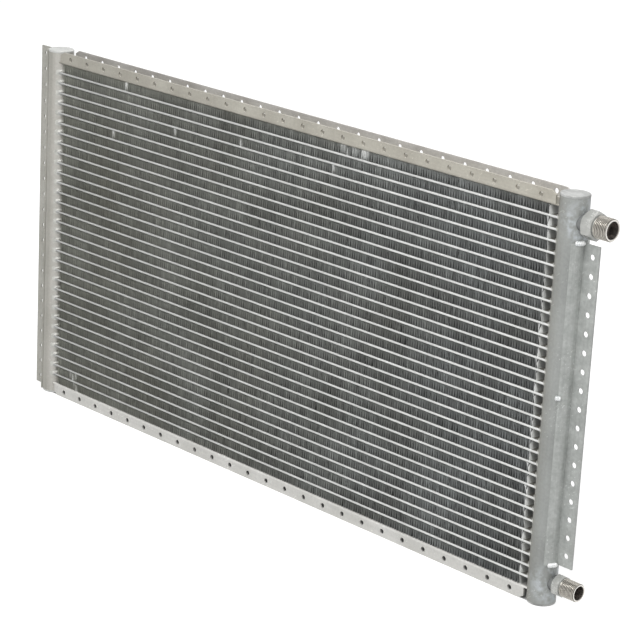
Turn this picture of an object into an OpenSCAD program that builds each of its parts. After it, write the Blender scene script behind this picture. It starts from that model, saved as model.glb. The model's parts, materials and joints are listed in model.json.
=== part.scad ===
// Finned condenser coil: flat tubes and folded fins brazed between two round headers.
// Frame: X along the tubes towards the fittings, Y from front to back, Z up.
// Origin: centre of the four corner holes of the side plates, in their front face.

/* [Tubes] */
// Clear length of the tubes between the two headers
core_w = 644; // [300:1:900]
// Depth of a flat tube, front to back
tube_d = 20; // [17:0.5:26]
// Thickness of a flat tube
tube_h = 2; // [1.6:0.1:3]
// Wall of a flat tube above and below its ports
tube_wall = 0.4; // [0.3:0.05:0.6]
// Wall between two neighbouring ports
port_web = 0.5; // [0.3:0.05:0.8]
// Number of ports in a tube
port_n = 8; // [4:1:10]
// How far a tube's edges reach past the header's inner wall
tube_poke = 1.3; // [0.5:0.1:2.5]

/* [Passes] */
// Tubes in the first pass, at the top
pass_1 = 12; // [4:1:13]
// Tubes in the second pass
pass_2 = 8; // [3:1:10]
// Tubes in the third pass
pass_3 = 7; // [3:1:9]
// Tubes in the last pass, at the bottom
pass_4 = 5; // [3:1:7]

/* [Fins] */
// Height of a fin row, from tube to tube
fin_h = 8; // [5:0.5:12]
// Thickness of the fin strip
fin_t = 0.3; // [0.2:0.05:0.5]
// Distance from one fold of the strip to the next
fin_step = 6.6; // [5:0.1:14]
// How far the fins stand back from the tubes' noses
fin_setback = 0.5; // [0:0.1:2]
// Bare tube between the fins and a header
fin_end_gap = 8.4; // [4:0.1:25]

/* [Headers] */
// Wall of a header
header_wall = 1.6; // [1.2:0.1:2.5]
// Room between a tube's edges and the header's inner wall
tube_edge_room = 0.9; // [0.5:0.1:2]
// Thickness of a header cap's lid
cap_t = 2; // [1:0.1:4]
// Rounding of a header cap's outer edge
cap_round = 0.9; // [0.3:0.1:0.9]
// Length of a header cap's spigot
cap_spigot = 5; // [3:0.5:7]
// Wall of a header cap's spigot
cap_wall = 1.5; // [1:0.1:3]
// Thickness of a baffle
baffle_t = 2; // [1:0.1:4]

/* [Side plates] */
// Sheet thickness of the side plates
plate_t = 1.5; // [1:0.1:2.5]
// Height of a side plate, from the fins to its flange edges
plate_h = 12; // [10:0.5:20]
// Inside radius of the side plate's bends
plate_bend = 1; // [0.5:0.1:3]
// Gap between a flange's end and the header beside it
flange_gap = 4; // [2:0.5:10]
// Length of the cut on a flange's corners
flange_cut_l = 5; // [2:0.5:8]
// Height of the cut on a flange's corners
flange_cut_h = 3; // [1:0.5:5]
// Diameter of the flange holes
plate_hole_d = 4.5; // [3:0.1:6]
// Spacing of the flange holes
plate_hole_pitch = 25.2; // [15:0.1:40]
// Distance from the flange holes to the flange edge
plate_hole_edge = 5.5; // [4:0.1:6]
// Least distance from the last flange hole to the flange's end
plate_hole_end = 9; // [9:0.5:30]

/* [Brackets] */
// Thickness of the bracket's saddle
saddle_t = 1.8; // [1.2:0.1:3]
// Half angle that the saddle takes round the header
saddle_angle = 52; // [30:1:75]
// Thickness of the bracket's flange
bracket_t = 1.5; // [1:0.1:4]
// Width of the bracket's flange, beyond the saddle
bracket_w = 15.6; // [12:0.1:30]
// Diameter of the bracket holes
bracket_hole_d = 5; // [3:0.1:7]
// Spacing of the bracket holes
bracket_hole_pitch = 16; // [10:0.1:30]
// Distance from the bracket holes to the flange's outer edge
bracket_hole_edge = 7.3; // [5:0.1:9]
// Least distance from the last bracket hole to the bracket's end
bracket_hole_end = 6; // [5:0.5:20]
// How far the left bracket stops short of the header's ends
bracket_left_gap = 1; // [0:0.5:20]
// Room between the weld beads and the corners of the inlet's hexagon
weld_room = 1; // [0.5:0.1:30]
// Radius of the weld beads on the right bracket
bead_r = 2.3; // [1:0.1:3]
// Angle that a weld bead takes along a bracket's end
bead_sweep = 36; // [10:1:45]
// Angle that the weld bead on the bracket's front edge takes
edge_bead_sweep = 20; // [6:1:25]
// Height of the weld bead on the bracket's front edge
edge_bead_z = 8; // [-60:1:60]

/* [Fittings] */
// Length of the bare neck between the header and a fitting's hexagon
neck_l = 3.3; // [0.5:0.1:6]
// Chamfer on a fitting's threaded end
thread_chamfer = 0.7; // [0.3:0.1:1]
// Length of the groove between hexagon and thread
groove_l = 1.2; // [0.5:0.1:3]
// Depth of the groove between hexagon and thread
groove_depth = 1; // [0.5:0.1:1.2]
// Angle of the chamfer on a hexagon's corners
hex_chamfer = 30; // [15:1:40]
// How far a hexagon's round end faces stand in from its flats
hex_face_gap = 0.5; // [0.2:0.1:1]
// Inlet: how far its axis is below the top tube
inlet_drop = 1; // [0:0.1:5]
// Inlet: thread diameter
inlet_thread_d = 19.05; // [17:0.05:22]
// Inlet: threaded length
inlet_thread_l = 13; // [8:0.5:25]
// Inlet: hexagon across flats
inlet_hex = 22; // [20:0.5:27]
// Inlet: hexagon length
inlet_hex_l = 10.5; // [5:0.5:15]
// Inlet: neck diameter
inlet_neck_d = 16; // [14:0.1:18]
// Inlet: diameter of the socket in its mouth
inlet_socket_d = 14.4; // [12:0.1:14.8]
// Inlet: depth of the socket in its mouth
inlet_socket_l = 12; // [6:0.5:18]
// Inlet: diameter of the passage to the header
inlet_passage_d = 10; // [6:0.1:11]
// Outlet: how far its axis is below the bottom tube
outlet_drop = 0.5; // [0:0.1:3]
// Outlet: thread diameter
outlet_thread_d = 15.875; // [14:0.025:18]
// Outlet: threaded length
outlet_thread_l = 15; // [8:0.5:25]
// Outlet: hexagon across flats
outlet_hex = 17; // [16:0.5:24]
// Outlet: hexagon length
outlet_hex_l = 7.5; // [5:0.5:15]
// Outlet: neck diameter
outlet_neck_d = 13; // [11:0.1:15]
// Outlet: diameter of the socket in its mouth
outlet_socket_d = 11.8; // [9:0.1:11.9]
// Outlet: depth of the socket in its mouth
outlet_socket_l = 13; // [6:0.5:18]
// Outlet: diameter of the passage to the header
outlet_passage_d = 7.5; // [5:0.1:8.5]

/* [Fits] */
// Gap of a brazed seat
braze_gap = 0.1; // [0.05:0.05:0.2]

/* [Hidden] */
$fn = 48;
past = 1;
passes = [pass_1, pass_2, pass_3, pass_4];
tube_n = pass_1 + pass_2 + pass_3 + pass_4;
pitch = tube_h + fin_h;
core_h = tube_n * tube_h + (tube_n + 1) * fin_h;
mid_y = tube_d / 2;

// Header section, and where the tubes' noses and edges cross its two walls
header_ri = tube_d / 2 + tube_edge_room;
header_r = header_ri + header_wall;
nose_x = sqrt(header_r ^ 2 - mid_y ^ 2);
edge_x = sqrt(header_ri ^ 2 - mid_y ^ 2);
header_x = core_w / 2 + nose_x;
end_z = core_h / 2 + plate_h;
header_h = 2 * (end_z - cap_t);
tube_l = 2 * (header_x - edge_x + tube_poke);

// Fold of the fin strip
fin_l = core_w - 2 * fin_end_gap;
fin_d = tube_d - 2 * fin_setback;
fold_n = floor(fin_l / fin_step) + 1;
fin_rise = fin_t * sqrt(1 + (fin_h / fin_step) ^ 2);

// Side plate flanges and their holes
flange_x = core_w / 2 - flange_gap;
plate_hole_z = end_z - plate_hole_edge;
plate_hole_n = floor(2 * (flange_x - plate_hole_end) / plate_hole_pitch) + 1;

// Brackets, fittings
end_tube_z = core_h / 2 - fin_h - tube_h / 2;
inlet_z = end_tube_z - inlet_drop;
outlet_z = -end_tube_z - outlet_drop;
saddle_r = header_r + braze_gap;
bracket_r = saddle_r + saddle_t + bracket_w;
bracket_hole_r = bracket_r - bracket_hole_edge;
bracket_left_h = 2 * (end_z - bracket_left_gap);
bracket_right_h = 2 * (inlet_z - inlet_hex / 2 / cos(30) - weld_room - bead_r);

function two_digits(i) = i < 10 ? str("0", i) : str(i);
function tube_name(i) = str("tube_", two_digits(i));
function fins_name(p) = str("fins_pass_", p);
function tube_z(i) = core_h / 2 - fin_h - tube_h / 2 - (i - 1) * pitch;
function fin_z(row) = core_h / 2 - fin_h / 2 - row * pitch;
function tubes_through(p) = p == 0 ? 0 : passes[p - 1] + tubes_through(p - 1);
function baffle_z(p) = tube_z(tubes_through(p)) - pitch / 2;
function spread(i, n, step) = (i - (n - 1) / 2) * step;

// Outline of a flat tube with round noses, and a clearance all round
module tube_outline(gap) {
    flat_w = tube_d - tube_h;
    square([flat_w, tube_h + 2 * gap], center = true);
    for (side = [-1, 1]) translate([side * flat_w / 2, 0]) circle(d = tube_h + 2 * gap);
}

// Section of a flat tube: a row of ports between thin webs
module tube_section() {
    port_w = (tube_d - tube_h - (port_n + 1) * port_web) / port_n;
    difference() {
        tube_outline(0);
        for (i = [0:port_n - 1])
            translate([spread(i, port_n, port_w + port_web), 0])
                square([port_w, tube_h - 2 * tube_wall], center = true);
    }
}

// Carries a section in Y and Z along X
module along_x(length, centred = true) {
    rotate([90, 0, 90]) linear_extrude(length, center = centred) children();
}

module flat_tube(i) {
    color("gainsboro") translate([0, mid_y, tube_z(i)]) along_x(tube_l) tube_section();
}

// Section of the fin strip: a zigzag of even thickness, with a fold at each step
module fin_section() {
    last = fold_n - 1;
    function fold_x(k) = spread(k, fold_n, fin_step);
    upper = [for (k = [0:last]) [fold_x(k), k % 2 == 0 ? fin_h / 2 : fin_rise - fin_h / 2]];
    lower = [for (k = [last:-1:0]) [fold_x(k), k % 2 == 0 ? fin_h / 2 - fin_rise : -fin_h / 2]];
    polygon(concat(upper, lower));
}

module fin_row(row) {
    translate([0, mid_y, fin_z(row)])
        rotate([90, 0, 0]) linear_extrude(fin_d, center = true) fin_section();
}

// The fin rows of one pass; the first pass also has the row above its top tube
module fins(p) {
    first = p == 1 ? 0 : tubes_through(p - 1) + 1;
    color("dimgray") for (row = [first:tubes_through(p)]) fin_row(row);
}

// A header with its tube slots, about its own axis, with the tubes on its -X side
module slotted_header() {
    difference() {
        cylinder(r = header_r, h = header_h, center = true);
        cylinder(r = header_ri, h = header_h + 2 * past, center = true);
        for (i = [1:tube_n]) translate([-header_r - past, 0, tube_z(i)])
            along_x(header_r + past, centred = false) tube_outline(braze_gap);
    }
}

module header_left() {
    color("darkgray") translate([-header_x, mid_y, 0]) mirror([1, 0, 0]) slotted_header();
}

module neck_hole(neck_d, z) {
    translate([0, 0, z]) rotate([0, 90, 0]) cylinder(d = neck_d + 2 * braze_gap, h = header_r + past);
}

module header_right() {
    color("darkgray") translate([header_x, mid_y, 0]) difference() {
        slotted_header();
        neck_hole(inlet_neck_d, inlet_z);
        neck_hole(outlet_neck_d, outlet_z);
    }
}

// Half section of a header cap: a lid with a round edge and a hollow spigot under it
module cap_section() {
    lid_side = cap_t - cap_round;
    flat_r = header_r - cap_round;
    square([header_r, lid_side]);
    square([flat_r, cap_t]);
    translate([flat_r, lid_side]) circle(r = cap_round);
    translate([header_ri - braze_gap - cap_wall, -cap_spigot]) square([cap_wall, cap_spigot + lid_side]);
}

module cap(side, end) {
    color("silver") translate([side * header_x, mid_y, 0]) mirror([0, 0, end < 0 ? 1 : 0])
        translate([0, 0, end_z - cap_t]) rotate_extrude() cap_section();
}

// A disc that parts one pass from the next inside a header
module baffle(side, p) {
    color("silver") translate([side * header_x, mid_y, baffle_z(p)])
        cylinder(r = header_ri - braze_gap, h = baffle_t, center = true);
}

// A strip with two round lower corners, for the inside and the outside of a channel
module round_foot(w, h, r) {
    translate([r - w / 2, 0]) square([w - 2 * r, h]);
    translate([-w / 2, r]) square([w, h - r]);
    for (side = [-1, 1]) translate([side * (w / 2 - r), r]) circle(r = r);
}

module channel_section() {
    difference() {
        round_foot(tube_d, plate_h, plate_bend + plate_t);
        translate([0, plate_t]) round_foot(tube_d - 2 * plate_t, plate_h, plate_bend);
    }
}

// Cuts both flanges off past their ends, and takes their outer corners
module flange_ends() {
    web_top = core_h / 2 + plate_t;
    for (side = [0, 1]) mirror([side, 0, 0]) {
        translate([flange_x, -past, web_top]) cube([core_w, tube_d + 2 * past, plate_h]);
        translate([0, tube_d + past, 0]) rotate([90, 0, 0]) linear_extrude(tube_d + 2 * past)
            polygon([
                [flange_x - flange_cut_l, end_z],
                [flange_x, end_z - flange_cut_h],
                [flange_x + past, end_z - flange_cut_h],
                [flange_x + past, end_z + past],
                [flange_x - flange_cut_l, end_z + past]
            ]);
    }
}

// A channel that backs the end fins, open away from them, its web fitted to the headers
module side_plate() {
    color("lightgray") difference() {
        translate([0, mid_y, core_h / 2]) along_x(2 * header_x) channel_section();
        flange_ends();
        for (side = [-1, 1]) translate([side * header_x, mid_y, 0])
            cylinder(r = header_r + braze_gap, h = end_z + past);
        for (i = [0:plate_hole_n - 1])
            translate([spread(i, plate_hole_n, plate_hole_pitch), -past, plate_hole_z])
                rotate([-90, 0, 0]) cylinder(d = plate_hole_d, h = tube_d + 2 * past);
    }
}

// Section of a bracket: a saddle on the header's outer side and a flange in its middle
module bracket_section() {
    wedge = 2 * bracket_r;
    intersection() {
        difference() {
            circle(r = saddle_r + saddle_t, $fn = 96);
            circle(r = saddle_r, $fn = 96);
        }
        polygon([
            [0, 0],
            [wedge * cos(saddle_angle), -wedge * sin(saddle_angle)],
            [wedge, 0],
            [wedge * cos(saddle_angle), wedge * sin(saddle_angle)]
        ]);
    }
    translate([saddle_r + saddle_t / 2, -bracket_t / 2])
        square([bracket_r - saddle_r - saddle_t / 2, bracket_t]);
}

module bracket(h) {
    hole_n = floor((h - 2 * bracket_hole_end) / bracket_hole_pitch) + 1;
    color("silver") translate([header_x, mid_y, 0]) difference() {
        linear_extrude(h, center = true) bracket_section();
        for (i = [0:hole_n - 1])
            translate([bracket_hole_r, 0, spread(i, hole_n, bracket_hole_pitch)])
                rotate([90, 0, 0]) cylinder(d = bracket_hole_d, h = bracket_t + 2 * past, center = true);
    }
}

// A round bead of weld about the saddle's outer edge, over a range of angles
module bead(from, sweep) {
    rotate([0, 0, from]) rotate_extrude(angle = sweep) intersection() {
        translate([saddle_r + saddle_t, 0]) circle(r = bead_r);
        translate([saddle_r, -bead_r]) square([saddle_t + bead_r, 2 * bead_r]);
    }
}

// The welds that hold the right bracket: one over each end and one over its front edge
module bracket_welds() {
    flange_angle = asin((bracket_t / 2 + braze_gap) / saddle_r);
    edge_angle = saddle_angle + braze_gap / saddle_r * 180 / PI;
    color("whitesmoke") translate([header_x, mid_y, 0]) difference() {
        union() {
            for (end = [-1, 1]) translate([0, 0, end * bracket_right_h / 2])
                bead(-flange_angle - bead_sweep, bead_sweep);
            translate([0, 0, edge_bead_z]) bead(-saddle_angle - edge_bead_sweep / 2, edge_bead_sweep);
        }
        rotate([0, 0, -edge_angle]) rotate_extrude(angle = edge_angle)
            translate([0, -bracket_right_h / 2 - braze_gap])
                square([saddle_r + saddle_t + braze_gap, bracket_right_h + 2 * braze_gap]);
    }
}

// A hexagon with its corners turned off at both ends
module hexagon(across, l) {
    face_r = across / 2 - hex_face_gap;
    wide_r = across / 2 / cos(30) + past;
    cut = (wide_r - face_r) * tan(hex_chamfer);
    intersection() {
        cylinder(d = across / cos(30), h = l, $fn = 6);
        rotate_extrude() polygon([[0, 0], [face_r, 0], [wide_r, cut], [wide_r, l - cut], [face_r, l], [0, l]]);
    }
}

// A fitting about X, from its neck in the header's wall to its threaded mouth
module fitting(z, thread_d, thread_l, hex, hex_l, neck_d, socket_d, socket_l, passage_d) {
    neck_start = sqrt(header_ri ^ 2 - (neck_d / 2) ^ 2);
    hex_start = header_r + neck_l;
    hex_end = hex_start + hex_l;
    thread_start = hex_end + groove_l;
    mouth = thread_start + thread_l;
    neck_r = neck_d / 2;
    thread_r = thread_d / 2;
    translate([header_x, mid_y, z]) rotate([0, 90, 0]) difference() {
        union() {
            rotate_extrude() polygon([
                [0, neck_start],
                [neck_r, neck_start],
                [neck_r, hex_end - past],
                [thread_r - groove_depth, hex_end - past],
                [thread_r - groove_depth, thread_start],
                [thread_r, thread_start],
                [thread_r, mouth - thread_chamfer],
                [thread_r - thread_chamfer, mouth],
                [0, mouth]
            ]);
            translate([0, 0, hex_start]) hexagon(hex, hex_l);
        }
        translate([0, 0, neck_start - past]) cylinder(d = passage_d, h = mouth);
        translate([0, 0, mouth - socket_l]) cylinder(d = socket_d, h = socket_l + past);
    }
}

module fitting_inlet() {
    color("rosybrown") fitting(inlet_z, inlet_thread_d, inlet_thread_l, inlet_hex, inlet_hex_l,
        inlet_neck_d, inlet_socket_d, inlet_socket_l, inlet_passage_d);
}

module fitting_outlet() {
    color("rosybrown") fitting(outlet_z, outlet_thread_d, outlet_thread_l, outlet_hex, outlet_hex_l,
        outlet_neck_d, outlet_socket_d, outlet_socket_l, outlet_passage_d);
}

header_left();
header_right();
cap(-1, 1);  // cap_left_top
cap(-1, -1);  // cap_left_bottom
cap(1, 1);  // cap_right_top
cap(1, -1);  // cap_right_bottom
baffle(1, 1);  // baffle_right_upper
baffle(-1, 2);  // baffle_left
baffle(1, 3);  // baffle_right_lower
side_plate();  // side_plate_top
mirror([0, 0, 1]) side_plate();  // side_plate_bottom
mirror([1, 0, 0]) bracket(bracket_left_h);  // bracket_left
bracket(bracket_right_h);  // bracket_right
bracket_welds();
fitting_inlet();
fitting_outlet();
for (p = [1:len(passes)]) fins(p);
for (i = [1:tube_n]) flat_tube(i);
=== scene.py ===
"""Looks of a finned condenser coil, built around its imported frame.

The frame's solids keep their places. Fins folded at their true pitch, threaded fittings, weld beads and
braze fillets are added as numpy surfaces, and every surface gets a metal finish made of nodes.
"""

import json
import logging
import math
from dataclasses import dataclass, replace
from enum import Enum
from typing import Any

import bpy
import numpy as np
from mathutils import Matrix, Vector

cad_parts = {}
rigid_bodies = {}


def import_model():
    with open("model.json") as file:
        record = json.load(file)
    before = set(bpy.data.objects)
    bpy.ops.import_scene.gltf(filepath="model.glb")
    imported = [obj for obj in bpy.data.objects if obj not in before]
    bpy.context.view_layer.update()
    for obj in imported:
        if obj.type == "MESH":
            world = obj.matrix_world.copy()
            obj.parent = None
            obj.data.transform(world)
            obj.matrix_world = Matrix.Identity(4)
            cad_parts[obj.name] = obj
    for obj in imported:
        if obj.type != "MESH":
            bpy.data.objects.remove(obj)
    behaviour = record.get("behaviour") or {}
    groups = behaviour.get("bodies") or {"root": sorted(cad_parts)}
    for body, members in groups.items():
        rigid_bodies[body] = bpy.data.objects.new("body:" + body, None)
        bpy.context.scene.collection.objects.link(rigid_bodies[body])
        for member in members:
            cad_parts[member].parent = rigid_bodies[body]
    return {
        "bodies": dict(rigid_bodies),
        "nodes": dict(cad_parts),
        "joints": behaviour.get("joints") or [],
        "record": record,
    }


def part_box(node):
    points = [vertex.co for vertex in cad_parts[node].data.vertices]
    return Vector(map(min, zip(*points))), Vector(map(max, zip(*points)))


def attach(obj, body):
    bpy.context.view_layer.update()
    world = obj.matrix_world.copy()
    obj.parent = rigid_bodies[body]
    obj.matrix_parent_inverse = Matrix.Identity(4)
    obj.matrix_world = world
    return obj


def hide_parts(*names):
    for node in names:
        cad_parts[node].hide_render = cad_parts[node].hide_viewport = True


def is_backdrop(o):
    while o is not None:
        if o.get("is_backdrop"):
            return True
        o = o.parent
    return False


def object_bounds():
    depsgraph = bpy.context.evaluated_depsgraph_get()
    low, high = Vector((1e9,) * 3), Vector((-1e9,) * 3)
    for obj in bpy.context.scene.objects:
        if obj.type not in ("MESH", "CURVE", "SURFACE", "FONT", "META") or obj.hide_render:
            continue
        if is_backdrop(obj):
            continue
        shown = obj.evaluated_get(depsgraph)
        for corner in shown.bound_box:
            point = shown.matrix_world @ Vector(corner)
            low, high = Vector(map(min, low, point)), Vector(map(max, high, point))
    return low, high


LOG = logging.getLogger("condenser_coil")
BODY = "root"
MM = 0.001
INCH = 25.4 * MM
SHARP_EDGE = math.radians(35)

# Width over which one finish gives way to the next
EDGE = 0.1 * MM

# Points of the fin strip's last leg, along its path
LAST_LEG = slice(-3, None)

# Points round the strip's section that lie behind its front edge
BEHIND_EDGE = slice(1, 5)

# Which points round the strip's section lie on its upper side
UPPER = np.array([1, 1, 1, 0, 0, 0])

Colour = tuple[float, float, float]
Point = tuple[float, float, float]
Range = tuple[float, float]


def srgb(red: int, green: int, blue: int) -> Colour:
    """Turns a colour of three screen values into linear light.

    Args:
        red: Red, from 0 to 255.
        green: Green, from 0 to 255.
        blue: Blue, from 0 to 255.

    Returns:
        The three linear values, from 0 to 1.
    """
    shares = np.array([red, green, blue]) / 255
    linear = np.where(shares <= 0.04045, shares / 12.92, ((shares + 0.055) / 1.055) ** 2.4)
    return tuple(float(value) for value in linear)


def sight(azimuth: float, elevation: float) -> Vector:
    """Gives the direction from the coil to a place round it.

    Args:
        azimuth: The place's angle from the coil's front, in radians.
        elevation: Its angle above the level, in radians.

    Returns:
        The direction, one metre long.
    """
    level = math.cos(elevation)
    return Vector((math.sin(azimuth) * level, -math.cos(azimuth) * level, math.sin(elevation)))


def add_object(name: str, data: bpy.types.ID) -> bpy.types.Object:
    """Adds an object to the scene.

    Args:
        name: The object's name.
        data: Its mesh, lamp or camera.

    Returns:
        The object.
    """
    made = bpy.data.objects.new(name, data)
    bpy.context.scene.collection.objects.link(made)
    return made


class Axis(Enum):
    """The axes of the frame, by their place in a vector."""

    X = 0
    Y = 1
    Z = 2


class Mark(Enum):
    """Numbers that a piece stores on its points for its finish."""

    PAINTED_SIDE_SHADE = "painted_side_shade"
    BARE_AND_GLINT = "bare_and_glint"


class Socket:
    """A number that changes over a surface. Arithmetic on it adds Math nodes to its graph."""

    def __init__(self, graph: "Graph", link: bpy.types.NodeSocket) -> None:
        """Keeps the graph and the output that the number comes from."""
        self.graph = graph
        self.link = link

    def __add__(self, other: "Socket | float") -> "Socket":
        """Adds a number."""
        return self.graph.math("ADD", self, other)

    __radd__ = __add__

    def __sub__(self, other: "Socket | float") -> "Socket":
        """Takes a number away."""
        return self.graph.math("SUBTRACT", self, other)

    def __rsub__(self, other: float) -> "Socket":
        """Takes this from a number."""
        return self.graph.math("SUBTRACT", other, self)

    def __mul__(self, other: "Socket | float") -> "Socket":
        """Multiplies by a number."""
        return self.graph.math("MULTIPLY", self, other)

    __rmul__ = __mul__

    def __truediv__(self, other: "Socket | float") -> "Socket":
        """Divides by a number."""
        return self.graph.math("DIVIDE", self, other)

    def __abs__(self) -> "Socket":
        """Drops the sign."""
        return self.graph.math("ABSOLUTE", self)

    def __mod__(self, other: float) -> "Socket":
        """Gives what is left after whole steps, never below zero."""
        return self.graph.math("FLOORED_MODULO", self, other)

    def ramp(self, low: float, high: float) -> "Socket":
        """Runs evenly from 0 at low to 1 at high, or falls where high is the lower.

        Args:
            low: Where the ramp is 0.
            high: Where the ramp is 1.

        Returns:
            The ramp, from 0 to 1.
        """
        share = (self - low) / (high - low)
        clamped = self.graph.node("ShaderNodeClamp", inputs={"Value": share})
        return Socket(self.graph, clamped.outputs[0])


class Graph:
    """The node tree of one material or world."""

    def __init__(self, owner: bpy.types.Material | bpy.types.World, coordinates: str = "Object") -> None:
        """Turns on the owner's nodes, empties their tree and finds the point that is shaded.

        Args:
            owner: The material or world that the nodes belong to.
            coordinates: Which coordinates give the point. Those of an object are metres in the frame.
        """
        owner.use_nodes = True
        self.tree = owner.node_tree
        self.tree.nodes.clear()
        self.place = self.node("ShaderNodeTexCoord").outputs[coordinates]

    def node(self, kind: str, settings: dict[str, Any] | None = None,
             inputs: dict[str | int, Any] | None = None) -> bpy.types.Node:
        """Adds one node.

        Args:
            kind: The node's type.
            settings: Its own settings, which are set first.
            inputs: The values or links of its sockets, by name or place.

        Returns:
            The node.
        """
        made = self.tree.nodes.new(kind)
        for name, value in (settings or {}).items():
            setattr(made, name, value)
        for key, value in (inputs or {}).items():
            self.feed(made.inputs[key], value)
        return made

    def feed(self, target: bpy.types.NodeSocket, value: Any) -> None:
        """Links or sets one input.

        Args:
            target: The input.
            value: A Socket, an output, a number or a colour.
        """
        if isinstance(value, Socket):
            self.tree.links.new(value.link, target)
        elif isinstance(value, bpy.types.NodeSocket):
            self.tree.links.new(value, target)
        elif isinstance(value, tuple) and target.type == "RGBA":
            target.default_value = (*value, 1.0)
        else:
            target.default_value = value

    def math(self, operation: str, *values: Socket | float) -> Socket:
        """Works out one step of arithmetic on numbers."""
        made = self.node("ShaderNodeMath", {"operation": operation}, dict(enumerate(values)))
        return Socket(self, made.outputs[0])

    def times(self, first: Any, second: Any) -> bpy.types.NodeSocket:
        """Multiplies two vectors or colours, part by part."""
        made = self.node("ShaderNodeVectorMath", {"operation": "MULTIPLY"}, {0: first, 1: second})
        return made.outputs[0]

    def distance(self, first: Any, second: Any) -> Socket:
        """Gives the distance between two points."""
        made = self.node("ShaderNodeVectorMath", {"operation": "DISTANCE"}, {0: first, 1: second})
        return Socket(self, made.outputs["Value"])

    def part(self, axis: Axis) -> Socket:
        """Gives one coordinate of the point that is shaded."""
        return Socket(self, self.node("ShaderNodeSeparateXYZ", inputs={0: self.place}).outputs[axis.value])

    def mark(self, mark: Mark) -> Socket:
        """Gives a number that is stored on the piece's own points."""
        return Socket(self, self.node("ShaderNodeAttribute", {"attribute_name": mark.value}).outputs["Fac"])

    def stretch(self, place: bpy.types.NodeSocket, axis: Axis, run: float) -> bpy.types.NodeSocket:
        """Draws a pattern out along one axis.

        Args:
            place: The point that the pattern reads.
            axis: The axis that the pattern runs along.
            run: How many times longer it becomes there.

        Returns:
            The point to read instead.
        """
        scale = [1.0, 1.0, 1.0]
        scale[axis.value] = 1 / run
        return self.times(place, scale)

    def noise(self, size: float, detail: float = 2.0, place: bpy.types.NodeSocket | None = None) -> Socket:
        """Gives a cloud of numbers about 0.5.

        Args:
            size: How wide its features are, in metres.
            detail: How many finer layers lie on it.
            place: The point that it reads, if not the one that is shaded.

        Returns:
            The cloud, from 0 to 1.
        """
        inputs = {"Vector": place or self.place, "Scale": 1 / size, "Detail": detail}
        return Socket(self, self.node("ShaderNodeTexNoise", inputs=inputs).outputs[0])

    def mix(self, share: Socket, first: Any, second: Any) -> bpy.types.NodeSocket:
        """Mixes two colours.

        Args:
            share: How much of the second shows.
            first: The first colour.
            second: The second colour.

        Returns:
            The mixed colour.
        """
        inputs = {"Factor": share, 6: first, 7: second}
        return self.node("ShaderNodeMix", {"data_type": "RGBA"}, inputs).outputs[2]

    def shade(self, colour: bpy.types.NodeSocket, factor: Socket) -> bpy.types.NodeSocket:
        """Makes a colour lighter or darker by a factor."""
        made = self.node("ShaderNodeVectorMath", {"operation": "SCALE"}, {0: colour, "Scale": factor})
        return made.outputs[0]

    def bump(self, height: Socket, depth: float) -> bpy.types.NodeSocket:
        """Turns a height from 0 to 1 into a normal, with a relief of depth metres."""
        inputs = {"Height": height, "Distance": depth, "Strength": 1.0}
        return self.node("ShaderNodeBump", inputs=inputs).outputs[0]


@dataclass(frozen=True)
class Surface:
    """What one finish gives to its shader."""

    colour: bpy.types.NodeSocket
    roughness: Socket
    height: Socket
    relief: float
    metallic: Socket | None = None


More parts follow.
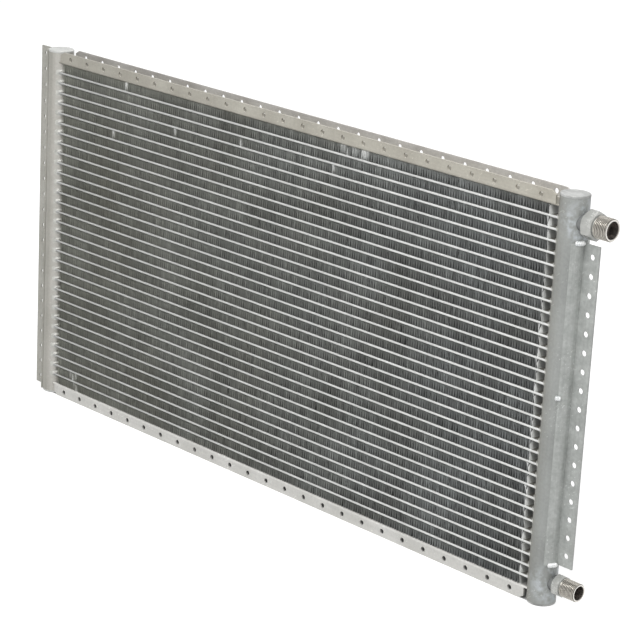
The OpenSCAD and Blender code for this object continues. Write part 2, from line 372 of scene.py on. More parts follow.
@dataclass(frozen=True)
class MetalFinish:
    """A metal surface with broad patches, drawing lines, a fine mottle and light scratches."""

    name: str
    dark: Colour
    light: Colour
    metallic: float = 0.3
    rough: Range = (0.4, 0.56)
    patch: float = 40 * MM
    patch_range: Range = (0.3, 0.7)
    grain_axis: Axis = Axis.Z
    grain: float = 1.6 * MM
    grain_run: float = 60.0
    grain_tone: float = 0.16
    grain_rise: float = 0.6
    mottle: float = 1.1 * MM
    mottle_tone: float = 0.12
    mottle_rise: float = 0.4
    scratch_tone: float = 0.25
    scratch: float = 1.2 * MM
    scratch_range: Range = (0.72, 0.8)
    scratch_run: float = 25.0
    scratch_slant: Point = (0.5, 0.4, 0.6)
    zone: float = 30 * MM
    zone_range: Range = (0.5, 0.62)
    painted_light_ends: Range = (1.0, 1.0)
    half_length: float = 320 * MM
    depth_middle: float = 10 * MM
    relief: float = 0.03 * MM

    def material(self) -> bpy.types.Material:
        """Makes the finish as a node material.

        Returns:
            The material.
        """
        made = bpy.data.materials.new(self.name)
        graph = Graph(made)
        surface = self.paint(graph)
        shader = graph.node("ShaderNodeBsdfPrincipled", inputs={
            "Base Color": surface.colour,
            "Roughness": surface.roughness,
            "Metallic": self.metallic if surface.metallic is None else surface.metallic,
            "Normal": graph.bump(surface.height, surface.relief),
        })
        graph.node("ShaderNodeOutputMaterial", inputs={"Surface": shader.outputs[0]})
        return made

    def paint(self, graph: Graph) -> Surface:
        """Lays the patches, drawing lines, mottle and scratches over each other, and paints light that grows
        or fades from end to end.

        Args:
            graph: The material's nodes.

        Returns:
            The colour, roughness and height of the surface.
        """
        patch = graph.noise(self.patch, detail=3.0).ramp(*self.patch_range)
        grain = graph.noise(self.grain, place=graph.stretch(graph.place, self.grain_axis, self.grain_run))
        mottle = graph.noise(self.mottle, detail=3.0)
        tone = 1 + self.grain_tone * (grain - 0.5) + self.mottle_tone * (mottle - 0.5)
        tone = tone + self.scratch_tone * self.scratches(graph)
        # Painted light: the tone changes from the coil's left end to its right end, as the light falls off
        left, right = self.painted_light_ends
        tone = tone * (left + (right - left) * self.along(graph))
        low, high = self.rough
        return Surface(
            colour=graph.shade(graph.mix(patch, self.dark, self.light), tone),
            roughness=low + (high - low) * (0.5 * patch + 0.5 * mottle),
            height=self.grain_rise * grain + self.mottle_rise * mottle,
            relief=self.relief,
        )

    def along(self, graph: Graph) -> Socket:
        """Runs from 0 at the coil's left end to 1 at its right end."""
        return graph.part(Axis.X).ramp(-self.half_length, self.half_length)

    def off_middle(self, graph: Graph) -> Socket:
        """Gives the distance in front of or behind the middle of the tubes."""
        return abs(graph.part(Axis.Y) - self.depth_middle)

    def scratches(self, graph: Graph) -> Socket:
        """Gives sparse thin marks: the crests of a noise drawn out across a slanted axis.

        Args:
            graph: The material's nodes.

        Returns:
            A mask, 1 in a scratch.
        """
        turn = {"Vector": graph.place, "Rotation": self.scratch_slant}
        slant = graph.node("ShaderNodeMapping", inputs=turn).outputs[0]
        marks = graph.noise(self.scratch, 0.0, graph.stretch(slant, Axis.X, self.scratch_run))
        zone = graph.noise(self.zone, detail=0.0).ramp(*self.zone_range)
        return marks.ramp(*self.scratch_range) * zone


@dataclass(frozen=True, kw_only=True)
class HeaderFinish(MetalFinish):
    """Header metal with light and shade painted round it, haze at the fittings and a line at each cap's seam.
    """

    axis_x: float
    radius: float
    # Painted light and shade: factors that lighten or darken the header's left and right sides
    left_tint: Colour
    right_tint: Colour
    shading_range: Range
    fitting_points: tuple[Point, ...] = ()
    haze: Colour = srgb(206, 212, 216)
    haze_range: Range = (0.42, 0.62)
    haze_share: float = 0.85
    haze_radius: float = 14 * MM
    haze_width: float = 9 * MM
    haze_patch: float = 6 * MM
    haze_stray: float = 12 * MM
    seam_z: float = 0.174
    seam_width: float = 0.35 * MM
    seam_tone: float = 0.35

    def paint(self, graph: Graph) -> Surface:
        """Adds the light and shade painted round the header, the haze rings and the seam lines to the plain
        metal.

        Args:
            graph: The material's nodes.

        Returns:
            The colour, roughness and height of the surface.
        """
        plain = MetalFinish.paint(self, graph)
        wobble = graph.noise(self.haze_patch, detail=4.0)
        # Painted light and shade: the colour is lightened or darkened round the header, by where light falls
        painted_shading = ((graph.part(Axis.X) - self.axis_x) / self.radius).ramp(*self.shading_range)
        colour = graph.times(plain.colour, graph.mix(painted_shading, self.left_tint, self.right_tint))
        for point in self.fitting_points:
            away = graph.distance(graph.place, point) + self.haze_stray * (wobble - 0.5)
            ring = abs(away - self.haze_radius).ramp(self.haze_width, 0.0)
            colour = graph.mix(self.haze_share * ring * wobble.ramp(*self.haze_range), colour, self.haze)
        seam = abs(abs(graph.part(Axis.Z)) - self.seam_z).ramp(self.seam_width, 0.0)
        colour = graph.shade(colour, 1 - self.seam_tone * seam)
        return replace(plain, colour=colour, height=plain.height - seam)


@dataclass(frozen=True)
class FinFinish(MetalFinish):
    """Fin strip with painted light on its upper side and painted shade on its lower one, louvre slots painted
    dark as shade, dust, and edges worn clean with a painted glint where it was bent.
    """

    row_pitch: float = 10 * MM
    louvre_step: float = 1.2 * MM
    slot_range: Range = (0.45, 0.95)
    bank_start: float = 0.8 * MM
    bank_end: float = 5.0 * MM
    louvre_half: float = 3.1 * MM
    slot_shade: float = 0.7
    louvre_rise: float = 4.0
    side_shade_middle: float = 0.98
    side_shade_range: float = 0.62
    left_share: float = 0.45
    fade: Range = (-0.25, 0.1)
    left_tint: Colour = (1.0, 1.0, 0.93)
    right_tint: Colour = (0.95, 0.98, 1.03)
    dust: Colour = srgb(128, 124, 112)
    dust_patch: float = 90 * MM
    dust_range: Range = (0.4, 0.75)
    dust_share: float = 0.4
    bare_glint: Colour = srgb(246, 247, 245)

    def paint(self, graph: Graph) -> Surface:
        """Adds painted light and shade on the two sides, two banks of louvre slots painted dark as shade, a
        thin dust and worn edges with a painted glint.

        Args:
            graph: The material's nodes.

        Returns:
            The colour, roughness and height of the surface.
        """
        plain = MetalFinish.paint(self, graph)
        off_middle = self.off_middle(graph)
        half_row = self.row_pitch / 2
        in_row = abs((graph.part(Axis.Z) + half_row) % self.row_pitch - half_row)
        bank = off_middle.ramp(self.bank_start, self.bank_start + EDGE)
        bank = bank * off_middle.ramp(self.bank_end, self.bank_end - EDGE)
        bank = bank * in_row.ramp(self.louvre_half, self.louvre_half - EDGE)
        slat = (graph.part(Axis.Y) % self.louvre_step) / self.louvre_step
        # Painted shade: the louvre slots are darkened as the shade inside them
        slot = bank * slat.ramp(*self.slot_range)
        dust = graph.noise(self.dust_patch, detail=3.0).ramp(*self.dust_range)
        colour = graph.mix(self.dust_share * dust, plain.colour, self.dust)
        tint = graph.mix(self.along(graph), self.left_tint, self.right_tint)
        colour = graph.times(colour, tint)
        # Painted light and shade: each leg's upper side is lightened and its lower side darkened, less so
        # towards the left
        shading_contrast = self.left_share + (1 - self.left_share) * graph.part(Axis.X).ramp(*self.fade)
        side = self.side_shade_middle + self.side_shade_range * shading_contrast * (graph.mark(Mark.PAINTED_SIDE_SHADE) - 0.5)
        colour = graph.shade(colour, side * (1 - self.slot_shade * slot))
        # Painted glint: worn edges and the last leg of each row are lightened to near white
        colour = graph.mix(graph.mark(Mark.BARE_AND_GLINT), colour, self.bare_glint)
        return replace(plain, colour=colour, height=plain.height + self.louvre_rise * bank * slat)


@dataclass(frozen=True)
class TubeFinish(MetalFinish):
    """Flat tube with bright noses, and flats painted dark as shade."""

    nose_start: float = 8.6 * MM
    nose_end: float = 9.1 * MM
    shaded_flats: Colour = srgb(112, 110, 103)
    speck: Colour = srgb(176, 174, 166)
    speck_size: float = 0.9 * MM
    speck_range: Range = (0.6, 0.72)
    speck_share: float = 0.6

    def paint(self, graph: Graph) -> Surface:
        """Paints shade on the flats, and leaves pale specks on them.

        Args:
            graph: The material's nodes.

        Returns:
            The colour, roughness and height of the surface.
        """
        plain = MetalFinish.paint(self, graph)
        nose = self.off_middle(graph).ramp(self.nose_start, self.nose_end)
        specks = graph.noise(self.speck_size, detail=1.0).ramp(*self.speck_range)
        # Painted shade: the flats are darkened, with pale specks
        flat = graph.mix(self.speck_share * specks, self.shaded_flats, self.speck)
        return replace(plain, colour=graph.mix(nose, flat, plain.colour))


@dataclass(frozen=True)
class PlateFinish(MetalFinish):
    """Sheet of a side plate, with shade painted on its web between the flanges and light painted on its back
    flange.
    """

    web_half: float = 8.2 * MM
    web_edge: float = 0.2 * MM
    web_z: float = 0.1665
    web_fade: float = 0.5 * MM
    web_shade: float = 0.58
    back_light_tint: Colour = (1.0, 1.0, 1.0)

    def paint(self, graph: Graph) -> Surface:
        """Paints shade on the web and light on the back flange.

        Args:
            graph: The material's nodes.

        Returns:
            The colour, roughness and height of the surface.
        """
        plain = MetalFinish.paint(self, graph)
        # Painted shade on the web, deep between the flanges
        web = self.off_middle(graph).ramp(self.web_half + self.web_edge, self.web_half)
        web = web * abs(graph.part(Axis.Z)).ramp(self.web_z + self.web_fade, self.web_z)
        behind = graph.part(Axis.Y) - self.depth_middle
        # Painted light on the back flange
        back = behind.ramp(self.web_half, self.web_half + self.web_edge)
        colour = graph.times(plain.colour, graph.mix(back, (1.0, 1.0, 1.0), self.back_light_tint))
        return replace(plain, colour=graph.shade(colour, 1 - (1 - self.web_shade) * web))


@dataclass(frozen=True, kw_only=True)
class FittingFinish(MetalFinish):
    """Plated fitting: a neck painted dark as shade, a satin hexagon, a warmer thread with shade painted in
    its valleys, a machined rim painted light as a highlight and a turned bore.
    """

    axis_point: Point
    hex_start: float
    thread_start: float
    mouth: float
    bore_r: float
    thread_r: float
    # Dark colour painted on the neck as shade
    neck: Colour = srgb(126, 128, 127)
    thread_edge: float = 0.4 * MM
    # Dark colour painted in the thread's valleys as shade
    valley: Colour = srgb(88, 84, 78)
    valley_depth: float = 0.5 * MM
    crest: Colour = srgb(180, 176, 168)
    crest_depth: float = 0.1 * MM
    band: float = 2.0 * MM
    band_scale: Point = (1.0, 0.3, 0.3)
    band_tone: float = 0.5
    # Light colour painted on the machined rim as a highlight
    rim: Colour = srgb(222, 219, 213)
    rim_depth: Range = (0.15 * MM, 0.05 * MM)
    bore: Colour = srgb(180, 175, 171)
    bore_edge: float = 0.2 * MM
    ring_step: float = 0.35 * MM
    ring_rise: float = 0.3
    turned_metallic: float = 0.9
    turned_gloss: float = 0.4

    def paint(self, graph: Graph) -> Surface:
        """Adds painted shade on the neck, the warmer plating of the thread with painted shade in its valleys,
        a painted highlight on its mouth's machined face, its bore, and fine turning rings.

        Args:
            graph: The material's nodes.

        Returns:
            The colour, roughness and height of the surface.
        """
        plain = MetalFinish.paint(self, graph)
        along = graph.part(Axis.X)
        off_axis = graph.distance(graph.times(graph.place, (0.0, 1.0, 1.0)), self.axis_point)
        on_thread = along.ramp(self.thread_start - self.thread_edge, self.thread_start)
        # Painted shade: the thread's valleys are darkened below its crests
        depth = off_axis.ramp(self.thread_r - self.crest_depth, self.thread_r - self.valley_depth)
        bands = graph.noise(self.band, place=graph.times(graph.place, self.band_scale))
        tone = 1 + self.band_tone * (bands - 0.5)
        warm = graph.shade(graph.mix(depth, self.crest, self.valley), tone)
        # Painted shade: the neck is darkened where the hexagon shades it
        colour = graph.mix(along.ramp(self.hex_start, self.hex_start - EDGE), plain.colour, self.neck)
        colour = graph.mix(on_thread, colour, warm)
        # Painted highlight on the machined rim at the mouth
        on_rim = along.ramp(*(self.mouth - inset for inset in self.rim_depth))
        colour = graph.mix(on_rim, colour, self.rim)
        in_bore = off_axis.ramp(self.bore_r + self.bore_edge, self.bore_r)
        colour = graph.mix(in_bore, colour, self.bore)
        turned = graph.math("MAXIMUM", on_thread, in_bore)
        metallic = self.metallic + (self.turned_metallic - self.metallic) * turned
        roughness = plain.roughness * (1 - self.turned_gloss * turned)
        height = plain.height + self.ring_rise * graph.math("SINE", along * (2 * math.pi / self.ring_step))
        return replace(plain, colour=colour, roughness=roughness, height=height, metallic=metallic)


@dataclass
class Grid:
    """A batch of like surfaces that close along v, as points by batch, u, v and axis."""

    points: np.ndarray
    wrap_u: bool = False
    cap_ends: bool = False

    def quads(self) -> np.ndarray:
        """Joins neighbouring points of each surface into faces whose normal is u crossed with v.

        Returns:
            The corners of every face, four to a row.
        """
        batch, count_u, count_v = self.points.shape[:3]
        index = np.arange(batch * count_u * count_v).reshape(batch, count_u, count_v)
        rows = np.concatenate([index, index[:, :1]], axis=1) if self.wrap_u else index
        both = np.concatenate([rows, rows[:, :, :1]], axis=2)
        corners = (both[:, :-1, :-1], both[:, 1:, :-1], both[:, 1:, 1:], both[:, :-1, 1:])
        faces = [np.stack(corners, axis=-1).reshape(-1, 4)]
        if self.cap_ends:
            faces += [self.cap(index[:, 0]), self.cap(index[:, -1])[:, ::-1]]
        return np.concatenate(faces)

    @staticmethod
    def cap(ring: np.ndarray) -> np.ndarray:
        """Zips a ring of an even count shut, each face between two points and the two facing them."""
        near = np.arange(ring.shape[1] // 2 - 1)
        far = ring.shape[1] - 1 - near
        corners = (ring[:, near], ring[:, near + 1], ring[:, far - 1], ring[:, far])
        return np.stack(corners, axis=-1).reshape(-1, 4)


def make_piece(name: str, grids: list[Grid], smooth: bool = True,
               marks: dict[Mark, np.ndarray] | None = None) -> bpy.types.Object:
    """Puts surfaces into one mesh that rides on the frame.

    Args:
        name: The piece's name.
        grids: Its surfaces.
        smooth: Whether its faces are shaded round, apart from sharp edges.
        marks: Numbers for its finish, one for each point.

    Returns:
        The new piece.
    """
    points = [grid.points.reshape(-1, 3) for grid in grids]
    starts = np.cumsum([0] + [len(group) for group in points[:-1]])
    faces = np.concatenate([grid.quads() + start for grid, start in zip(grids, starts)])
    mesh = bpy.data.meshes.new(name)
    mesh.vertices.add(sum(len(group) for group in points))
    mesh.vertices.foreach_set("co", np.concatenate(points).astype(np.float32).ravel())
    mesh.loops.add(faces.size)
    mesh.loops.foreach_set("vertex_index", faces.astype(np.int32).ravel())
    mesh.polygons.add(len(faces))
    mesh.polygons.foreach_set("loop_start", np.arange(0, faces.size, 4, dtype=np.int32))
    mesh.polygons.foreach_set("use_smooth", np.full(len(faces), smooth))
    mesh.update(calc_edges=True)
    if smooth:
        mesh.set_sharp_from_angle(angle=SHARP_EDGE)
    for mark, values in (marks or {}).items():
        stored = mesh.attributes.new(mark.value, "FLOAT", "POINT")
        stored.data.foreach_set("value", values.astype(np.float32).ravel())
    piece = add_object(name, mesh)
    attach(piece, BODY)
    LOG.info("%s: %d faces", name, len(faces))
    return piece


def dress(piece: bpy.types.Object, material: bpy.types.Material) -> None:
    """Gives every material slot of a piece one finish.

    Args:
        piece: A new piece or a node of the frame.
        material: The finish.
    """
    if not piece.data.materials:
        piece.data.materials.append(material)
    for slot in piece.material_slots:
        slot.material = material


@dataclass(frozen=True)
class Layout:
    """Places and sizes of the coil's main parts, read off the frame in metres."""

    tube_tops: np.ndarray
    tube_bottoms: np.ndarray
    tube_front: float
    tube_back: float
    header_x: float
    header_y: float
    header_r: float
    plate_top: float
    plate_bottom: float

    @property
    def depth_middle(self) -> float:
        """Middle of the tubes, from front to back."""
        return (self.tube_front + self.tube_back) / 2

    @classmethod
    def read(cls, names: list[str]) -> "Layout":
        """Measures the frame's nodes.

        Args:
            names: Every node's name.

        Returns:
            The layout.
        """
        tubes = [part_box(name) for name in sorted(names) if name.startswith("tube_")]
        low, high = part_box("cap_right_top")
        return cls(
            tube_tops=np.array([box[1].z for box in tubes]),
            tube_bottoms=np.array([box[0].z for box in tubes]),
            tube_front=tubes[0][0].y,
            tube_back=tubes[0][1].y,
            header_x=(low.x + high.x) / 2,
            header_y=(low.y + high.y) / 2,
            header_r=(high.y - low.y) / 2,
            plate_top=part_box("side_plate_top")[0].z,
            plate_bottom=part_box("side_plate_bottom")[1].z,
        )


@dataclass(frozen=True)
class Knock:
    """A place where the front edges of a few fins were pushed aside."""

    x: float
    row: int
    push: float
    reach: float
    # Strength of the painted glint on the worn edges
    rub_glint: float = 1.0


@dataclass
class FinStack:
    """The folded fin strips, 33 rows that share one piece for each pass."""

    layout: Layout
    passes: int = 4
    leg_step: float = 1.45 * MM
    crest: float = 0.2 * MM
    sheet: float = 0.1 * MM
    lip: float = 3.0 * MM
    fold_spread: float = 0.05 * MM
    edge_spread: float = 0.16 * MM
    shade_spread: float = 0.24
    # Strength of the painted highlight on each row's last leg, at its edge and just behind it
    end_glint: Range = (0.6, 1.0)
    end_lip_glint: Range = (0.2, 0.9)
    end_spread: float = 1.4 * MM
    end_shade: float = -0.4
    lip_bare_glint: float = 0.3
    seed: int = 33
    knocks: tuple[Knock, ...] = (
        Knock(-217 * MM, 0, -2.2 * MM, 3 * MM),
        *(Knock(x * MM, 0, -1.2 * MM, 1.5 * MM) for x in (75, 78, 82, 89, 92, 96)),
        *(Knock(x * MM, 0, -2.0 * MM, 2.5 * MM) for x in (101, 104, 107)),
        Knock(-53 * MM, 2, -2.2 * MM, 3 * MM),
        Knock(67 * MM, 2, -2.0 * MM, 3 * MM),
        Knock(-145 * MM, 3, -1.6 * MM, 2 * MM),
        Knock(-234 * MM, 5, -1.8 * MM, 3 * MM),
        Knock(-292 * MM, 31, -1.6 * MM, 2.5 * MM, 0.7),
        Knock(-288 * MM, 31, -1.6 * MM, 2.5 * MM, 0.8),
        Knock(-284 * MM, 31, -1.4 * MM, 2 * MM, 0.6),
        *(Knock(x * MM, 32, -1.8 * MM, 2.5 * MM, 0.6) for x in (-286, -282)),
    )

    def finish(self) -> FinFinish:
        """Gives the finish of the strips.

        Returns:
            The finish.
        """
        return FinFinish(
            "fin_strip", srgb(158, 159, 156), srgb(180, 181, 178), metallic=0.4, rough=(0.4, 0.55),
            patch=60 * MM, grain_axis=Axis.Y, mottle=0.8 * MM, scratch_tone=0.0,
            depth_middle=self.layout.depth_middle,
        )

    def build(self) -> None:
        """Makes and dresses the strips of each pass, and lets them stand for the plain ones."""
        tops = np.concatenate([[self.layout.plate_top], self.layout.tube_bottoms])
        bottoms = np.concatenate([self.layout.tube_tops, [self.layout.plate_bottom]])
        material = self.finish().material()
        for number in range(1, self.passes + 1):
            node = f"fins_pass_{number}"
            low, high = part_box(node)
            rows = np.flatnonzero((tops <= high.z + MM) & (bottoms >= low.z - MM))
            points, bare_glint = self.strips(rows, tops[rows], bottoms[rows], low, high)
            upper = self.paint_side_shade(number, bare_glint.shape)
            piece = make_piece(f"folded_fins_{number}", [Grid(points, cap_ends=True)], smooth=False,
                               marks={Mark.PAINTED_SIDE_SHADE: upper, Mark.BARE_AND_GLINT: bare_glint})
            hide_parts(node)
            dress(piece, material)

    def paint_side_shade(self, number: int, shape: tuple[int, ...]) -> np.ndarray:
        """Paints light on the strip's upper side and shade on its lower one, each a little lighter or darker
        from leg to leg.

        Args:
            number: The pass, which seeds the changes.
            shape: Counts of rows, places along the path and places round the section.

        Returns:
            About 1 on the upper side, about 0 on the lower one, and less inside the last leg, where shade is
            painted.
        """
        random = np.random.default_rng(self.seed * number)
        legs = random.normal(0, self.shade_spread, (shape[0], shape[1] // 2 - 1))
        change = np.zeros(shape[:2])
        change[:, 1:-1] = np.repeat(legs, 2, axis=1)
        tones = UPPER + change[..., None]
        # Painted shade deep inside the last leg, next to the header
        tones[:, LAST_LEG, BEHIND_EDGE] = self.end_shade
        return tones

    def strips(self, rows: np.ndarray, tops: np.ndarray, bottoms: np.ndarray,
               low: Vector, high: Vector) -> tuple[np.ndarray, np.ndarray]:
        """Carries the strip's flat section along a folded path.

        The path has two points at each fold, one on either side of a short crest, and the folds take turns
        between the tube above and the tube below. At each point the section is set off by half the sheet's
        thickness to both sides, along the mitre of the two stretches that meet there.

        Args:
            rows: The rows' numbers, counted from the top.
            tops: The height of what lies above each row.
            bottoms: The height of what lies below each row.
            low: Lowest corner of the plain strips.
            high: Highest corner of the plain strips.

        Returns:
            Points by row, place along the path, place round the section and axis, and how much painted glint
            and worn metal each point has.
        """
        random = np.random.default_rng(self.seed + int(rows[0]))
        folds = 2 * int(round((high.x - low.x - self.crest) / self.leg_step / 2 + 0.5))
        fold_x = np.linspace(low.x + self.crest / 2, high.x - self.crest / 2, folds)
        inner = (np.arange(folds) > 0) & (np.arange(folds) < folds - 1)
        fold_x = fold_x + inner * random.normal(0, self.fold_spread, (len(rows), folds))
        side = np.where(np.arange(folds) % 2 == 0, 1.0, -1.0)
        middle = (tops + bottoms)[:, None] / 2
        rise = (tops - bottoms - self.sheet)[:, None] / 2
        path_x = np.stack([fold_x - self.crest / 2, fold_x + self.crest / 2], axis=-1).reshape(len(rows), -1)
        path_z = np.repeat(middle + rise * side, 2, axis=1)
        mitre_x, mitre_z = self.mitres(path_x, path_z)
        depth = np.array([low.y, low.y + self.lip, high.y])
        depth = np.concatenate([depth, depth[::-1]])
        face = (2 * UPPER - 1) * self.sheet / 2
        shift, bare_glint = self.edge_shift(random, rows, path_x)
        points = np.empty((*path_x.shape, len(depth), 3))
        points[..., 0] = path_x[..., None] + mitre_x[..., None] * face + shift
        points[..., 1] = depth
        points[..., 2] = path_z[..., None] + mitre_z[..., None] * face
        return points, bare_glint

    @staticmethod
    def mitres(path_x: np.ndarray, path_z: np.ndarray) -> tuple[np.ndarray, np.ndarray]:
        """Gives the mitre at each point: the sum of the two unit normals over one plus their product.

        Args:
            path_x: The path's places along the tubes.
            path_z: The path's heights.

        Returns:
            The mitre's parts along the tubes and upwards.
        """
        run_x, run_z = np.diff(path_x, axis=1), np.diff(path_z, axis=1)
        length = np.hypot(run_x, run_z)
        normal_x, normal_z = -run_z / length, run_x / length
        before = [np.concatenate([part[:, :1], part], axis=1) for part in (normal_x, normal_z)]
        after = [np.concatenate([part, part[:, -1:]], axis=1) for part in (normal_x, normal_z)]
        share = 1 + before[0] * after[0] + before[1] * after[1]
        return (before[0] + after[0]) / share, (before[1] + after[1]) / share

    def edge_shift(self, random: np.random.Generator, rows: np.ndarray,
                   path_x: np.ndarray) -> tuple[np.ndarray, np.ndarray]:
        """Moves the front and back edges sideways: a little everywhere, and more where fins were knocked.

        A knock pushes the fins on one side of it, most at the knock and less with the distance, and wears
        their edges clean, with a painted glint on them. The last leg of each row is bent by chance and given
        a painted highlight, and the first stays straight.

        Args:
            random: The source of the small moves.
            rows: The rows' numbers.
            path_x: The path's places along the tubes.

        Returns:
            Moves by row, place along the path and place round the section, and how much painted glint and
            worn metal each point has.
        """
        legs = (len(rows), path_x.shape[1] // 2)
        front = np.repeat(random.normal(0, self.edge_spread, legs), 2, axis=1)
        back = np.repeat(random.normal(0, self.edge_spread, legs), 2, axis=1)
        rubbed_glint = np.zeros_like(front)
        for knock in self.knocks:
            behind = (knock.x - path_x) * -np.sign(knock.push)
            share = np.clip(1 - behind / knock.reach, 0, 1) * (behind >= 0) * (rows == knock.row)[:, None]
            front += knock.push * share
            rubbed_glint = np.maximum(rubbed_glint, knock.rub_glint * np.clip(2 * share, 0, 1))
        bent = -np.abs(random.normal(0, self.end_spread, (len(rows), 2)))
        front[:, LAST_LEG] = bent[:, [0, 1, 1]]
        # The last leg gets a painted highlight of random strength
        rubbed_glint[:, LAST_LEG] = random.uniform(*self.end_glint, (len(rows), 1))
        still = np.zeros_like(front)
        shift = np.stack([front, still, back, back, still, front], axis=-1)
        shift[:, :2] = 0
        inner = self.lip_bare_glint * rubbed_glint
        inner[:, LAST_LEG] = random.uniform(*self.end_lip_glint, (len(rows), 1))
        return shift, np.stack([rubbed_glint, inner, still, still, inner, rubbed_glint], axis=-1)


@dataclass
class ThreadedFitting:
    """A fitting turned about X: neck, chamfered hexagon, relief, thread and stepped bore."""

    port: str
    thread: dict[str, Any]
    socket: dict[str, Any]
    layout: Layout
    neck_r: float
    passage_r: float
    pitch: float
    groove: float = 1.2 * MM
    groove_depth: float = 1.0 * MM
    neck: float = 3.3 * MM
    chamfer: float = 0.7 * MM
    face_gap: float = 0.5 * MM
    hex_chamfer: float = math.radians(30)
    lip: float = 0.4 * MM
    thread_depth: float = 0.5
    crest_share: float = 0.32
    around: int = 96
    hex_rings: int = 21
    turn_rings: int = 10

    @property
    def thread_r(self) -> float:
        """Outer radius of the thread."""
        return self.thread["dims"]["r_mm"] * MM

    @property
    def thread_start(self) -> float:
        """Where the thread begins along X."""
        return self.thread["pos_m"][0] - self.thread["dims"]["length_mm"] * MM / 2

    @property
    def hex_start(self) -> float:
        """Where the hexagon begins along X."""
        return self.layout.header_x + self.layout.header_r + self.neck

    def finish(self) -> FittingFinish:
        """Gives the plating, fitted to this fitting's own sizes.

        Returns:
            The finish.
        """
        bore = self.socket["dims"]
        return FittingFinish(
            f"{self.port}_plating", srgb(172, 173, 169), srgb(196, 197, 193), rough=(0.2, 0.32),
            patch=9 * MM, grain_axis=Axis.X, grain=0.8 * MM,
            axis_point=(0.0, *self.thread["pos_m"][1:]),
            hex_start=self.hex_start,
            thread_start=self.thread_start,
            mouth=self.socket["pos_m"][0] + bore["length_mm"] * MM / 2,
            bore_r=bore["r_mm"] * MM,
            thread_r=self.thread_r,
        )

    def build(self) -> None:
        """Turns the outline about the fitting's axis, dresses it and lets it stand for the plain solid."""
        node = f"fitting_{self.port}"
        angle = np.linspace(0, 2 * np.pi, self.around, endpoint=False)
        along, radius = self.outline(*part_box(node), angle)
        middle_y, middle_z = self.thread["pos_m"][1:]
        points = np.empty((1, *radius.shape, 3))
        points[0, ..., 0] = along[:, None]
        points[0, ..., 1] = middle_y + radius * np.sin(angle)
        points[0, ..., 2] = middle_z + radius * np.cos(angle)
        piece = make_piece(f"threaded_{self.port}", [Grid(points, wrap_u=True)])
        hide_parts(node)
        dress(piece, self.finish().material())

    def outline(self, low: Vector, high: Vector, angle: np.ndarray) -> tuple[np.ndarray, np.ndarray]:
        """Lists the rings from the passage's inner end, over the outside, and back through the bore.

        Args:
            low: Lowest corner of the plain solid.
            high: Highest corner of the plain solid.
            angle: The angles round the axis.

        Returns:
            Each ring's place along the axis, and its radius at each angle.
        """
        mouth, neck_start = high.x, low.x
        hex_end = self.thread_start - self.groove
        socket_r = self.socket["dims"]["r_mm"] * MM
        socket_end = mouth - self.socket["dims"]["length_mm"] * MM
        relief_r = self.thread_r - self.groove_depth
        share = (1 - np.cos(np.linspace(0, np.pi, self.hex_rings))) / 2
        hex_along = self.hex_start + (hex_end - self.hex_start) * share
        turns = (mouth - self.thread_start) / self.pitch
        thread_along = np.linspace(self.thread_start, mouth, int(turns * self.turn_rings))
        before = np.array([
            (neck_start, self.passage_r),
            (neck_start, self.neck_r),
            (self.hex_start, self.neck_r),
        ])
        between = np.array([(hex_end, relief_r), (self.thread_start, relief_r)])
        after = np.array([
            (mouth, socket_r + self.lip),
            (mouth - self.lip, socket_r),
            (socket_end, socket_r),
            (socket_end, self.passage_r),
        ])
        along = np.concatenate([before[:, 0], hex_along, between[:, 0], thread_along, after[:, 0]])
        even = np.ones_like(angle)
        radius = np.concatenate([
            np.outer(before[:, 1], even),
            self.hexagon(hex_along, angle, high.y - low.y),
            np.outer(between[:, 1], even),
            self.screw(thread_along, angle),
            np.outer(after[:, 1], even),
        ])
        return along, radius

    def hexagon(self, along: np.ndarray, angle: np.ndarray, flats: float) -> np.ndarray:
        """Gives the hexagon's radius: half its flats over the cosine of the angle from the nearest flat.

        Near both ends a cone cuts the corners.

        Args:
            along: Places along the axis.
            angle: Angles from a corner.
            flats: Distance across the flats.

        Returns:
            Radii by place and angle.
        """
        sixth = np.pi / 3
        corner = flats / 2 / np.cos(angle % sixth - sixth / 2)
        from_end = np.minimum(along - along[0], along[-1] - along)
        cone = flats / 2 - self.face_gap + from_end / math.tan(self.hex_chamfer)
        return np.minimum(corner[None, :], cone[:, None])

    def screw(self, along: np.ndarray, angle: np.ndarray) -> np.ndarray:
        """Gives the thread's radius: a triangle wave with flat crests, in step with the angle and the pitch.

        The thread runs out at its first half turn, and a cone of 45 degrees cuts its mouth.

        Args:
            along: Places along the axis.
            angle: Angles round the axis.

        Returns:
            Radii by place and angle.
        """
        phase = ((along - self.thread_start)[:, None] / self.pitch - angle[None, :] / (2 * np.pi)) % 1.0
        valley = np.clip(1 - np.abs(2 * phase - 1) / (1 - self.crest_share), 0, 1)
        fade = np.clip((along - self.thread_start) / (self.pitch / 2), 0, 1)[:, None]
        radius = self.thread_r - self.thread_depth * self.pitch * valley * fade
        mouth = self.thread_r - self.chamfer + (along[-1] - along)[:, None]
        return np.minimum(radius, mouth)


